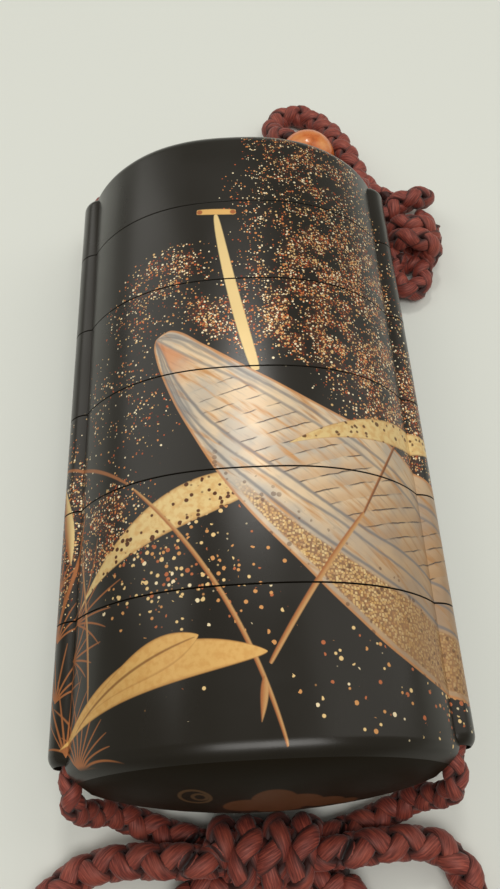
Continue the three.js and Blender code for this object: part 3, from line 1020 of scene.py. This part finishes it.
tone = wiring.mix(plank_line, tone, PLANK_BROWN)

strakes = 0.0
for points, width, strength in (
    (UPPER_STRAKE, 0.35, 0.65), (FLOOR_TOP, 0.3, 0.6), (FLOOR_LOW, 0.3, 0.75),
    (SECOND_STRAKE, 0.25, 0.7), (THIRD_STRAKE, 0.3, 0.75),
):
    distance = wiring.minus(across, edge_curve(wiring, along, points))
    line = line_at(wiring, wiring.math("ADD", distance, wiring.times(wobble, 0.4)), 0.0, width, 0.2)
    strakes = wiring.most(wiring.times(line, strength), strakes)
for at, strength in ((0.75, 0.6), (1.5, 0.5)):
    line = line_at(wiring, wiring.math("ADD", nearest, wiring.times(wobble, 0.5)), at, 0.3, 0.25)
    fading = wiring.step(along, 24.0, 8.0, 0.0, strength)
    strakes = wiring.most(wiring.times(line, fading), strakes)
tone = wiring.mix(strakes, tone, STRAKE_BLUE)
rim = wiring.step(nearest, 0.45, 0.15)
tone = wiring.mix(wiring.times(rim, 0.8), tone, RIM_GOLD)
tip = wiring.times(wiring.step(along, 9.0, 3.0), on_floor)
tip = wiring.times(tip, wiring.step(patches, 0.4, 0.55))
tone = wiring.mix(wiring.times(tip, 0.7), tone, TIP_COPPER)

mosaic_under = wiring.minus(edge_curve(wiring, along, THIRD_STRAKE), across)
in_band = wiring.times(wiring.step(mosaic_under, 0.4, 0.8), wiring.step(over_low, 0.7, 1.0))
in_band = wiring.times(in_band, wiring.step(along, 20.0, 27.0))
tiles, from_tile = wiring.cells(
    given["Place"], TILES_PER_MM, voronoi_dimensions="2D", distance="CHEBYCHEV"
)
tile_tone = wiring.ramp(tiles[0], TILE_TONES)
tile_tone = wiring.mix(wiring.step(from_tile, 0.32, 0.5), tile_tone, TILE_JOINT)
tile_tone = wiring.mix(wiring.step(along, 40.0, 50.0, 0.0, 0.6), tile_tone, HULL_BROWN)
tone = wiring.mix(wiring.times(in_band, 0.8), tone, tile_tone)
spots = wiring.use(FLAKES, Place=given["Place"], Cells=1.5, Share=0.22)
spot = wiring.times(spots["Mask"], wiring.step(mosaic_under, -2.2, -0.5))
spot = wiring.times(spot, wiring.step(along, 15.0, 19.0))
tone = wiring.mix(wiring.times(spot, 0.6), tone, HULL_SPOT)
wiring.give(out["Mask"], mask)
wiring.give(out["Colour"], tone)
HULL = wiring.tree
print("hull group:", len(HULL.nodes), "nodes")

# %% [markdown]
# ## The front's picture
#
# The picture is laid down in the order in which a lacquer worker would: a haze of fine powder, the
# sprinkled flakes, the grasses, the hull and then the leaves and stems that lie over it. Each stroke is a
# row in a list, with its start on the wrap map, its direction, its length and how it swells.

# %% Clouds of gold
FRONT_CLOUDS = [  # middle, half size, turn in degrees, how much of it is covered
    ((12, 41), (11, 13), 10, 0.5), ((15, 19), (14, 15), 0, 0.68), ((9, 8), (12, 6.5), -25, 0.85),
    ((21, 2), (12, 12), -20, 0.75), ((25, -9), (5, 7), 0, 0.6), ((-1.5, 9), (9, 4.2), -32, 0.7),
    ((-10, 18.5), (8, 5), 20, 0.52), ((-12, 13.5), (9, 7), 0, 0.3), ((-16, 0), (10, 12), 0, 0.15),
    ((-19, -17), (8, 7), 25, 0.6), ((-26, -14), (4, 14), 0, 0.5), ((5, 30), (7, 11), 0, 0.3),
    ((3, 14), (6, 9), 0, 0.38), ((19, 31), (7, 9), 0, 0.35),
]
FRONT_DOTS = [
    ((-10, -20), (9, 6), 15, 0.85), ((-9, -26), (10, 5.5), 5, 0.65), ((-3, -28), (7, 6), 0, 0.28),
    ((14, -37), (12, 7), -15, 0.2), ((-6, -38), (9, 3), 0, 0.06), ((24.5, -38), (4, 7), 0, 0.6),
    ((3, -22), (8, 7), 0, 0.07),
]


def covered(wiring, place, clouds, clump_scale):
    """How much of the surface the clouds cover, broken up into clumps and bare patches."""
    share = 0.0
    for middle, half, degrees, most in clouds:
        patch = wiring.use(
            CLOUD, Place=place, Middle=(*middle, 0.0), Half=(*half, 1.0), Angle=math.radians(degrees)
        )
        share = wiring.most(wiring.times(patch["Share"], most), share)
    clumps = wiring.step(wiring.noise(place, clump_scale, 3.0), 0.36, 0.58, 0.14, 1.15)
    return wiring.times(share, clumps)


# %% Strokes: start, end, width, bend, swell, taper, colour. Leaves: how spotted they are as well
COPPER = colour(160, 104, 66)
STEM_GOLD = colour(196, 150, 98)
STEM_DARK = colour(118, 76, 48)
LEAF_GOLD = colour(222, 176, 106)
LEAF_PALE = colour(226, 198, 140)
GRASS = colour(168, 104, 60)
LEAF_SHADE = colour(206, 150, 80)
LEAF_EDGE = colour(176, 118, 62)
LEAF_SPOT = colour(92, 54, 30)
VEIN_BROWN = colour(120, 72, 34)
BAR_END_RED = colour(150, 64, 36)
STROKES_UNDER = [  # the pole with its bar, and a stem, all behind the boat
    ((-5.4, 28.75), (0.1, 28.3), 1.05, 0.0, 1.0, 0.08, LEAF_GOLD),
    ((-2.75, 28.0), (1.6, 1.2), 1.5, -0.35, 1.7, 0.16, LEAF_PALE),
    ((-30.5, -5.3), (-14.9, -12.4), 0.45, 1.2, 1.0, 0.25, COPPER),
]
STROKES_OVER = [
    ((-14.2, -13.2), (2.5, -43.6), 0.5, 2.4, 1.0, 0.18, STEM_GOLD),
    ((24.0, -2.0), (13.4, -18.0), 0.36, -0.3, 1.0, 0.1, STEM_DARK),
    ((13.5, -17.8), (1.2, -35.4), 0.6, -0.4, 1.0, 0.15, STEM_GOLD),
    ((0.55, -36.6), (0.0, -41.2), 0.8, 0.1, 0.7, 0.9, STEM_GOLD),
    ((-23.6, -19.0), (-20.4, -37.0), 0.38, 0.6, 1.0, 0.3, STEM_GOLD),
    ((-27.8, -8.5), (-25.6, -19.5), 1.7, 0.3, 1.0, 0.8, LEAF_PALE),
    ((-28.4, -30.0), (-23.2, -13.5), 0.5, -0.5, 1.0, 0.4, GRASS),
]
LEAF_UNDER = ((-23.6, -26.2), (4.5, -13.2), 4.9, 2.2, 1.5, 0.85, LEAF_PALE, 1.0)
LEAVES_OVER = [
    ((30.0, -5.2), (5.0, -9.3), 3.5, -1.5, 0.62, 0.85, LEAF_PALE, 0.9),
    ((-25.6, -41.2), (1.0, -34.1), 4.2, 2.4, 1.35, 0.7, LEAF_GOLD, 0.0),
    ((-24.5, -40.6), (-6.2, -31.9), 3.6, 0.6, 2.4, 0.8, LEAF_GOLD, 0.0),
]
TUFT_WIDTH = 0.24
FRONT_TUFTS = [  # root, direction, spread, blades, reach, bend
    ((-24.0, -27.4), 22, 90, 7, 11.0, 0.8), ((-24.6, -31.5), 8, 90, 6, 7.5, 0.8),
    ((-21.8, -44.0), 68, 120, 11, 10.0, 0.8), ((-24.8, -42.0), 86, 70, 6, 14.0, 0.48),
    ((-26.8, -36.0), 78, 100, 7, 8.5, 0.64), ((-27.2, -29.0), 80, 100, 7, 8.5, 0.64),
    ((-27.4, -22.5), 82, 90, 6, 8.0, 0.64),
]


def brushed(wiring, place, start, end, width, bend, swell, taper):
    run = Vector(end) - Vector(start)
    return wiring.use(
        STROKE, Place=place, Start=(*start, 0.0), Angle=math.atan2(run.y, run.x), Length=run.length,
        Width=width, Bend=bend, Swell=swell, Taper=taper, Softness=0.16,
    )


def tufted(wiring, place, root, degrees, spread, blades, reach, bend, width):
    return wiring.use(
        TUFT, Place=place, Root=(*root, 0.0), Angle=math.radians(degrees), Spread=math.radians(spread),
        Blades=float(blades), Reach=reach, Bend=bend, Width=width,
    )


def lay(wiring, tone, gold, mask, over):
    """The picture's tone and its share of gold, with one more thing laid over them."""
    return wiring.mix(mask, tone, over), wiring.most(mask, gold)


# %% Front picture
LACQUER = (0.0110, 0.0078, 0.0042)
POWDER = colour(104, 56, 34)
FLAKE_METALS = [
    (0.0, colour(226, 186, 128)), (0.3, colour(248, 230, 194)), (0.5, colour(212, 136, 78)),
    (0.72, colour(186, 88, 46)), (0.9, colour(124, 46, 28)),
]
DOT_METALS = [
    (0.0, colour(230, 196, 138)), (0.34, colour(208, 148, 90)), (0.62, colour(184, 104, 64)),
    (0.88, colour(238, 218, 180)),
]
PICTURE_IN = {"Place": "vector", "Flake Place": "vector"}
PICTURE_OUT = {"Gold": "value", "Colour": "colour"}

wiring, given, out = new_group("front picture", PICTURE_IN, PICTURE_OUT)
place = given["Place"]
cover = covered(wiring, place, FRONT_CLOUDS, 0.32)
dot_cover = covered(wiring, place, FRONT_DOTS, 0.4)
tone = wiring.mix(wiring.step(cover, 0.15, 0.9, 0, 0.34), LACQUER, POWDER)
gold = 0.0
for cells, share, metals in (
    (2.6, cover, FLAKE_METALS), (3.8, cover, FLAKE_METALS), (1.75, dot_cover, DOT_METALS)
):
    flakes = wiring.use(FLAKES, Place=given["Flake Place"], Cells=cells, Share=share)
    tone, gold = lay(wiring, tone, gold, flakes["Mask"], wiring.ramp(flakes["Tone"], metals, "CONSTANT"))

for row in FRONT_TUFTS:
    tuft = tufted(wiring, place, *row, TUFT_WIDTH)
    tone, gold = lay(wiring, tone, gold, tuft["Mask"], GRASS)

mottle = wiring.noise(place, 1.3, 3.0)
spots = wiring.use(FLAKES, Place=place, Cells=1.45, Share=0.42)


def lay_leaf(tone, gold, row):
    *shape, metal, spotted = row
    leaf = brushed(wiring, place, *shape)
    shade = wiring.mix(wiring.step(mottle, 0.4, 0.66, 0.0, 0.5), metal, LEAF_SHADE)
    edge = wiring.step(wiring.math("ABSOLUTE", leaf["Across"]), 0.8, 1.0, 0.0, 0.55)
    shade = wiring.mix(edge, shade, LEAF_EDGE)
    shade = wiring.mix(wiring.times(spots["Mask"], spotted), shade, LEAF_SPOT)
    return lay(wiring, tone, gold, leaf["Mask"], shade)


for *shape, metal in STROKES_UNDER:
    stroke = brushed(wiring, place, *shape)
    tone, gold = lay(wiring, tone, gold, stroke["Mask"], metal)
for middle in ((-5.0, 28.7), (-0.3, 28.35)):
    bar_end = wiring.step(wiring.vector("DISTANCE", place, (*middle, 0.0)), 0.5, 0.3)
    tone = wiring.mix(wiring.times(bar_end, 0.8), tone, BAR_END_RED)
tone, gold = lay_leaf(tone, gold, LEAF_UNDER)
hull = wiring.use(HULL, Place=place)
tone, gold = lay(wiring, tone, gold, hull["Mask"], hull["Colour"])
for *shape, metal in STROKES_OVER:
    stroke = brushed(wiring, place, *shape)
    lit = wiring.mix(wiring.step(stroke["Across"], -0.9, 0.7), GRASS, metal)
    tone, gold = lay(wiring, tone, gold, stroke["Mask"], lit)
for row in LEAVES_OVER:
    tone, gold = lay_leaf(tone, gold, row)
vein = brushed(wiring, place, (-22.6, -39.8), (-6.6, -32.1), 0.3, 0.75, 1.0, 0.4)
tone = wiring.mix(wiring.times(vein["Mask"], 0.75), tone, VEIN_BROWN)
wiring.give(out["Gold"], gold)
wiring.give(out["Colour"], tone)
FRONT = wiring.tree
print("front picture:", len(FRONT.nodes), "nodes")

# %% [markdown]
# ## The back's picture
#
# The back of such a case is decorated too, and more plainly: a low bank of reeds and a thin drift of gold
# that comes round from the front. On the wrap map the back lies beyond the runners.

# %% Back picture
BACK_MIDDLE = 2 * side_run
BACK_TUFTS = [((-16, -44), 80, 90, 11, 13.0, 0.4), ((12, -44), 100, 90, 11, 13.0, 0.4)]
BACK_TUFT_WIDTH = 0.6
BACK_CLOUDS = [((-10, 22), (12, 7), 12, 0.34), ((9, 8), (12, 6), 12, 0.26), ((-6, -12), (11, 5), 10, 0.2)]
BACK_STROKES = [
    ((-12, -46), (-4, 6), 0.8, 2.0, 1.0, 0.2, COPPER), ((-9, -46), (9, -6), 0.8, -2.2, 1.0, 0.2, STEM_GOLD),
    ((4, -46), (-2, -14), 0.6, 1.5, 1.0, 0.25, COPPER),
    ((-8, -20), (9, -9), 3.0, 2.2, 1.3, 0.8, LEAF_GOLD), ((-5, -8), (-17, 3), 2.6, 1.8, 1.3, 0.8, LEAF_PALE),
    ((3, -20), (16, -22), 2.8, 2.6, 1.2, 0.8, LEAF_PALE), ((-4, 4), (7, 15), 2.2, 1.6, 1.4, 0.8, LEAF_GOLD),
]
wiring, given, out = new_group("back picture", PICTURE_IN, PICTURE_OUT)
place = given["Place"]
cover = covered(wiring, place, BACK_CLOUDS, 0.3)
flakes = wiring.use(FLAKES, Place=given["Flake Place"], Cells=2.6, Share=cover)
tone = wiring.mix(flakes["Mask"], LACQUER, wiring.ramp(flakes["Tone"], FLAKE_METALS, "CONSTANT"))
gold = flakes["Mask"]
for *shape, metal in BACK_STROKES:
    stroke = brushed(wiring, place, *shape)
    lit = wiring.mix(wiring.step(stroke["Across"], -0.9, 0.7), COPPER, metal)
    tone, gold = lay(wiring, tone, gold, stroke["Mask"], lit)
for row in BACK_TUFTS:
    tuft = tufted(wiring, place, *row, BACK_TUFT_WIDTH)
    tone, gold = lay(wiring, tone, gold, tuft["Mask"], GRASS)
wiring.give(out["Gold"], gold)
wiring.give(out["Colour"], tone)
BACK = wiring.tree
print("back picture:", len(BACK.nodes), "nodes")

# %% [markdown]
# ## The lacquer
#
# Lacquer is polished with charcoal and fine powder, so it is smooth with a trace of rubbing. The gold lies
# in it, duller and more metallic. There are three materials: one with the front picture, one with the back
# picture, both placed by the wrap map, and a plainer one for the ends, the cut faces at the seams and the
# insides.

# %% Lacquer of the front and the back
def new_material(name):
    """A material with its wiring, its shader and its texture coordinates."""
    material = bpy.data.materials.new(name)
    material.use_nodes = True
    wiring = Wiring(material.node_tree)
    return material, wiring, material.node_tree.nodes["Principled BSDF"], wiring.add("TexCoord").outputs


def in_millimetres(wiring, place):
    scaled = wiring.vector("SCALE", place)
    scaled.node.inputs["Scale"].default_value = 1 / MM
    return scaled


def rub(wiring, shader, here, gold, smooth, dull):
    """Roughness and the faint unevenness of rubbed lacquer. Gold is duller."""
    rough = wiring.step(wiring.noise(here["Object"], 90.0, 4.0), 0.3, 0.75, smooth, dull)
    wiring.give(shader.inputs["Roughness"], wiring.math("MULTIPLY_ADD", gold, 0.2, rough))
    wiring.relief(shader, wiring.noise(here["Object"], 220.0, 3.0), 0.05, 0.1 * MM)


def picture_lacquer(name, picture, on_back):
    """Lacquer with a picture. The back's places are counted from the back's own middle line."""
    material, wiring, shader, here = new_material(name)
    place = wiring.add("Attribute", attribute_type="GEOMETRY", attribute_name="wrap").outputs["Vector"]
    if on_back:
        around, along, _ = wiring.parts(place)
        middle = wiring.times(wiring.math("SIGN", around), BACK_MIDDLE)
        place = wiring.joined(wiring.minus(around, middle), along)
    drawn = wiring.use(picture, Place=place, Flake_Place=in_millimetres(wiring, here["Object"]))
    facing_end = wiring.math("ABSOLUTE", wiring.parts(here["Normal"])[1])
    skin = wiring.step(facing_end, 0.6, 0.35)
    gold = wiring.times(drawn["Gold"], skin)
    wiring.give(shader.inputs["Base Color"], wiring.mix(skin, LACQUER, drawn["Colour"]))
    wiring.give(shader.inputs["Metallic"], wiring.times(gold, 0.5))
    wiring.give(shader.inputs["Coat Weight"], wiring.times(skin, 0.22))
    shader.inputs["Coat Roughness"].default_value = 0.2
    shader.inputs["Specular IOR Level"].default_value = 0.3
    rub(wiring, shader, here, gold, 0.26, 0.36)
    return material


lacquers = [
    picture_lacquer("lacquer with the front picture", FRONT, False),
    picture_lacquer("lacquer with the back picture", BACK, True),
]
print("lacquers:", [material.name for material in lacquers])

# %% [markdown]
# The domed bottom carries a worn brown cloud with a scalloped edge and a small curl beside it. The cloud is
# a union of discs, and the curl is two rings, one in the other.

# %% Lacquer of the ends and insides
END_CLOUD = [  # x, z, radius
    (-2.0, 15.4, 2.5), (1.0, 17.6, 2.5), (3.6, 16.0, 2.6), (6.4, 14.6, 2.1), (8.6, 13.4, 1.4),
    (1.5, 13.0, 2.4),
]
END_CURL = [(-7.2, 18.4, 1.6), (-6.7, 18.5, 0.75)]
CLOUD_BROWN = colour(92, 56, 34)
CURL_GOLD = colour(112, 82, 54)

material, wiring, shader, here = new_material("plain lacquer")
axes = wiring.parts(in_millimetres(wiring, here["Object"]))
flat_place = wiring.joined(axes[0], axes[2])
cloud = 0.0
for x, z, radius in END_CLOUD:
    from_middle = wiring.vector("DISTANCE", flat_place, (x, z, 0.0))
    cloud = wiring.most(wiring.step(from_middle, radius + 0.1, radius - 0.15), cloud)
curl = 0.0
for x, z, radius in END_CURL:
    off = wiring.minus(wiring.vector("DISTANCE", flat_place, (x, z, 0.0)), radius)
    curl = wiring.most(wiring.step(wiring.math("ABSOLUTE", off), 0.3, 0.1), curl)
at_bottom = wiring.step(axes[1], -44.0, -44.6)
tone = wiring.mix(wiring.times(wiring.times(cloud, at_bottom), 0.75), LACQUER, CLOUD_BROWN)
tone = wiring.mix(wiring.times(wiring.times(curl, at_bottom), 0.4), tone, CURL_GOLD)
wiring.give(shader.inputs["Base Color"], tone)
shader.inputs["Specular IOR Level"].default_value = 0.06
rub(wiring, shader, here, 0.0, 0.4, 0.5)
lacquers.append(material)
print("plain lacquer:", len(material.node_tree.nodes), "nodes")


# %% Which lacquer each face has
END_FACING = 0.93  # how far a face of an end or a seam looks along the case
PICTURE_TOP = 0.36  # how far up a dome the picture goes, as a share of its rise
SKIN_FROM = 0.95  # less than this share of the way out, a face is inside


def lacquer_of(face):
    """0 for the front, 1 for the back, 2 for ends, seams and insides."""
    x, z = abs(face.center.x) / MM, face.center.z / MM - MID
    dome = min(max((abs(face.center.y) / MM - WALL_END) / DOME_RISE, 0), 0.999)
    size = math.sqrt(1 - dome**2)
    body = plan_reach(x / size, z / size)
    on_lobe = x > plan_x[crease] and math.hypot(x - RUNNER_X, z) > SKIN_FROM * RUNNER_RADIUS
    high_on_dome = dome > PICTURE_TOP and not on_lobe
    if abs(face.normal.y) > END_FACING or high_on_dome or not (body > SKIN_FROM or on_lobe):
        return 2
    return 0 if z >= 0 else 1


for piece in case_pieces:
    piece.data.materials.clear()
    for material in lacquers:
        piece.data.materials.append(material)
    for face in piece.data.polygons:
        face.material_index = lacquer_of(face)
    print(piece.name, [sum(face.material_index == k for face in piece.data.polygons) for k in range(3)])

# %% [markdown]
# ## The silk
#
# Each strand is a bundle of fine threads that run along it with a slight twist, and silk shines softly
# across them. The braid's own map gives the place round a strand and along it, so the threads can be drawn
# out along it, and the side that is turned inwards, into the gaps between strands, gets a painted shade.

# %% Silk material
SILK_TONES = [(0.28, colour(76, 26, 20)), (0.5, colour(126, 51, 40)), (0.72, colour(168, 80, 62))]
SILK_WORN = colour(172, 88, 68)
SILK_PAINTED_SHADE = colour(40, 12, 10)

silk, wiring, shader, here = new_material("braided silk")
around, along, _ = wiring.parts(here["UV"])
twisted = wiring.math("ADD", wiring.times(around, 26.0), wiring.times(along, 0.9))
threads = wiring.noise(wiring.joined(twisted, wiring.times(along, 0.45)), 1.5, 3.0)
worn = wiring.noise(here["Object"], 240.0, 3.0)
tone = wiring.mix(wiring.step(worn, 0.45, 0.72, 0.0, 0.3), wiring.ramp(threads, SILK_TONES), SILK_WORN)
# Painted shade: the inward side of each strand, in the gaps between strands, is darkened towards a deep red.
facing_out = wiring.math("SINE", wiring.times(around, 2 * math.pi))
tone = wiring.mix(wiring.step(facing_out, 0.85, 0.0, 0.0, 0.9), tone, SILK_PAINTED_SHADE)
wiring.give(shader.inputs["Base Color"], tone)
wiring.give(shader.inputs["Roughness"], wiring.step(threads, 0.3, 0.7, 0.72, 0.5))
shader.inputs["Sheen Weight"].default_value = 0.12
shader.inputs["Sheen Roughness"].default_value = 0.4
wiring.relief(shader, threads, 0.28, 0.25 * MM)
for piece in (*cords.values(), bow, end_bundle, *tail_knots.values()):
    piece.data.materials.append(silk)

# %% [markdown]
# ## The amber bead
#
# The bead is old amber-coloured horn: clouded orange with browner drifts, polished, with duller patches and a
# faint unevenness.

# %% Bead material
AMBER_TONES = [(0.3, colour(142, 62, 24)), (0.52, colour(206, 108, 44)), (0.75, colour(232, 156, 84))]

amber, wiring, shader, here = new_material("polished orange bead")
drift = wiring.noise(here["Object"], 260.0, 4.0)
wiring.give(shader.inputs["Base Color"], wiring.ramp(drift, AMBER_TONES))
wiring.give(shader.inputs["Roughness"], wiring.step(drift, 0.35, 0.7, 0.2, 0.36))
shader.inputs["Coat Weight"].default_value = 0.3
wiring.relief(shader, drift, 0.15, 0.2 * MM)
bead.data.materials.append(amber)

# %% [markdown]
# ## Floor, light and picture tones
#
# The case lies on a plain pale table. Polished lacquer shows little of its own colour: what is seen is the
# room in it. So the lights are large soft panels, one on each side, that draw the pale sheens near the
# shoulders. The middle stays dark, because only one small lamp stands in the direction that it mirrors: it
# glows in the hull.


# %% Floor
TABLE_COLOUR = (0.745, 0.76, 0.72, 1)

deselect_all()
bpy.ops.mesh.primitive_plane_add(size=1.6, location=(0, 0, -0.1 * MM))
floor = bpy.context.object
floor.name = "table_top"
bpy.ops.object.transform_apply(location=True, rotation=True, scale=True)
table = bpy.data.materials.new("pale table")
table.use_nodes = True
table_shader = table.node_tree.nodes["Principled BSDF"]
table_shader.inputs["Base Color"].default_value = TABLE_COLOUR
table_shader.inputs["Roughness"].default_value = 0.55
floor.data.materials.append(table)
floor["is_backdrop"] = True


# %% Lights
def soft_panel(name, place, aim, size, power, colour):
    light = bpy.data.lights.new(name, "AREA")
    light.shape = "RECTANGLE"
    light.size, light.size_y = size
    light.energy = power
    light.color = colour
    panel = bpy.data.objects.new(name, light)
    bpy.context.scene.collection.objects.link(panel)
    panel.location = place
    panel.rotation_euler = (Vector(aim) - Vector(place)).to_track_quat("-Z", "Y").to_euler()
    return panel


soft_panel("left panel", (-0.50, 0.42, 0.50), (0, 0.03, 0), (0.5, 0.7), 1.35, (1.0, 0.98, 0.92))
soft_panel("right panel", (0.55, 0.20, 0.48), (0, 0, 0), (0.5, 0.9), 1.15, (1.0, 0.98, 0.92))
soft_panel("high panel", (0.05, -0.35, 0.75), (0, 0, 0), (0.5, 0.3), 2.5, (1.0, 0.98, 0.94))
soft_panel("lamp in the hull", (0.02, 0.40, 0.70), (0, 0, 0), (0.11, 0.11), 1.0, (1.0, 0.97, 0.92))

world = bpy.data.worlds.new("room")
world.use_nodes = True
room = world.node_tree.nodes["Background"].inputs
room["Color"].default_value = (0.52, 0.53, 0.475, 1)
room["Strength"].default_value = 0.58
bpy.context.scene.world = world
bpy.context.scene.view_settings.view_transform = "Standard"

# %% [markdown]
# ## Finish
#
# The two boxes, of the plain frame and of the finished model, are kept side by side to compare.

# %% Sizes and finish
low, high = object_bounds()
below = [round((plain - drawn) / MM, 2) for plain, drawn in zip(cad_low, low)]
above = [round((drawn - plain) / MM, 2) for plain, drawn in zip(cad_high, high)]
print("grown by", below, above, "mm")
